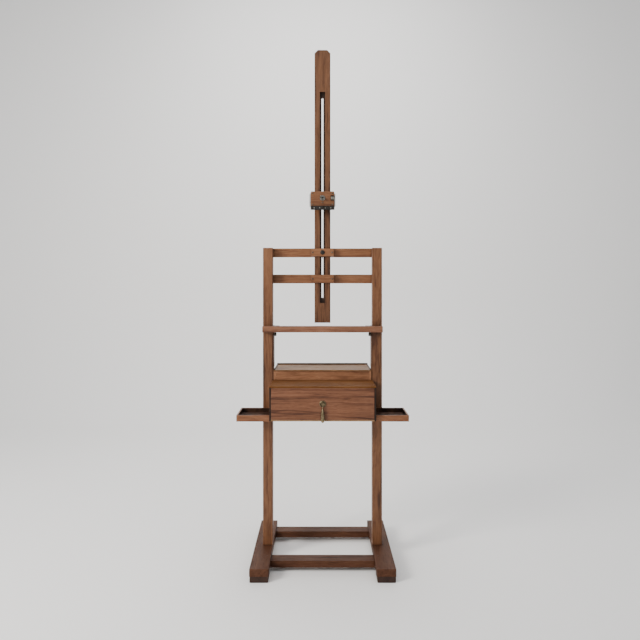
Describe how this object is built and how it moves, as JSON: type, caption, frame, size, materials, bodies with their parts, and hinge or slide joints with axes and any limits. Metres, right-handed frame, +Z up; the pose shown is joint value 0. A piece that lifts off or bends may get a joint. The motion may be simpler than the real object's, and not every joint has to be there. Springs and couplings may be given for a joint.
{
  "type": "french box easel",
  "caption": "Wooden studio easel on runner feet, with a sliding ledge, a slotted mast with a sliding canvas clamp, a paint box with drawer and hinged lid, and side trays.",
  "frame": {"origin": "on the floor, in the middle of the rectangle that the object covers", "axes": "+X to the right seen from the front, +Y to the back, +Z up; the front faces -Y"},
  "size_m": [0.732, 0.568, 2.302],
  "materials": {
    "oak": "waxed, satin",
    "dark_oak": "old wax, semi-gloss",
    "inner_wood": "bare, matt",
    "foot_pad": "dark stained, worn",
    "aged_brass": "aged, satin",
    "dark_iron": "blackened",
    "aged_steel": "worn, satin",
    "steel": "brushed",
    "screws": "dark, aged"
  },
  "bodies": {
    "frame": {"foot_right": "dark_oak", "foot_left": "dark_oak", "foot_pads": "foot_pad", "stretcher_front": "dark_oak", "stretcher_rear": "dark_oak", "joint_pegs": "dark_oak", "post_right": "oak", "post_left": "oak", "top_rail": "oak", "middle_rail": "oak", "rail_screws": "screws", "guide_cleats": "oak", "guide_keepers": "oak", "mast_bolt": "dark_iron", "mast_bolt_washer": "dark_iron", "ledge_stops": "oak", "box_side_right": "oak", "box_side_left": "oak", "box_back": "oak", "box_floor": "inner_wood", "box_top_front": "oak", "box_screws": "screws", "well_floor": "inner_wood", "well_walls": "inner_wood", "drawer_guides": "inner_wood", "box_hinge_leaves": "aged_brass", "box_hinge_screws": "aged_brass", "hinge_pins": "aged_brass", "side_trays": "oak"},
    "mast": {"mast": "oak"},
    "mast_wing_nut": {"mast_wing_nut": "dark_iron"},
    "canvas_clamp": {"clamp_block": "oak", "clamp_tongue": "oak", "clamp_cheeks": "oak", "clamp_back_plate": "steel", "clamp_lip": "dark_iron", "clamp_screws": "screws", "clamp_bolt": "dark_iron", "clamp_washer": "steel"},
    "clamp_wing_nut": {"clamp_wing_nut": "aged_steel"},
    "clamp_side_knob": {"clamp_side_knob": "aged_steel"},
    "ledge_carriage": {"picture_ledge": "oak", "ledge_blocks": "oak", "ledge_guide_right": "oak", "ledge_guide_left": "oak"},
    "thumbscrew_right": {"thumbscrew_right": "dark_iron"},
    "thumbscrew_left": {"thumbscrew_left": "dark_iron"},
    "lid": {"lid_panel": "oak", "lid_walls": "oak", "lid_rim": "oak", "lid_hinge_leaves": "aged_brass", "lid_hinge_screws": "aged_brass"},
    "drawer": {"drawer_front": "oak", "drawer_walls": "inner_wood", "drawer_bottom": "inner_wood", "drawer_dividers": "inner_wood", "pull_plate": "aged_brass", "pull_stud": "aged_brass"},
    "pull_drop": {"pull_drop": "aged_brass"}
  },
  "joints": [
    {"name": "mast_slide", "type": "slide", "parent": "frame", "child": "mast", "axis": [0, 0, 1], "range_m": [-0.06, 0.2]},
    {"name": "mast_nut_turn", "type": "hinge", "parent": "frame", "child": "mast_wing_nut", "pos_m": [0, 0.0361, 1.38], "axis": [0, 1, 0], "continuous": true},
    {"name": "clamp_slide", "type": "slide", "parent": "mast", "child": "canvas_clamp", "axis": [0, 0, 1], "range_m": [-0.1, 0.4]},
    {"name": "clamp_nut_turn", "type": "hinge", "parent": "canvas_clamp", "child": "clamp_wing_nut", "pos_m": [0, -0.0319, 1.625], "axis": [0, 1, 0], "continuous": true},
    {"name": "side_knob_turn", "type": "hinge", "parent": "canvas_clamp", "child": "clamp_side_knob", "pos_m": [0.0379, -0.0193, 1.625], "axis": [1, 0, 0], "continuous": true},
    {"name": "ledge_slide", "type": "slide", "parent": "frame", "child": "ledge_carriage", "axis": [0, 0, 1], "range_m": [0, 0.18]},
    {"name": "thumbscrew_right_turn", "type": "hinge", "parent": "ledge_carriage", "child": "thumbscrew_right", "pos_m": [0.2206, -0.0085, 1.008], "axis": [1, 0, 0], "continuous": true},
    {"name": "thumbscrew_left_turn", "type": "hinge", "parent": "ledge_carriage", "child": "thumbscrew_left", "pos_m": [-0.2206, -0.0085, 1.008], "axis": [1, 0, 0], "continuous": true},
    {"name": "lid_hinge", "type": "hinge", "parent": "frame", "child": "lid", "pos_m": [0, 0.1945, 0.8032], "axis": [-1, 0, 0], "range_deg": [0, 95]},
    {"name": "drawer_slide", "type": "slide", "parent": "frame", "child": "drawer", "axis": [0, -1, 0], "range_m": [0, 0.3]},
    {"name": "pull_swing", "type": "hinge", "parent": "drawer", "child": "pull_drop", "pos_m": [0, -0.239, 0.7294], "axis": [-1, 0, 0], "range_deg": [0, 90]}
  ]
}
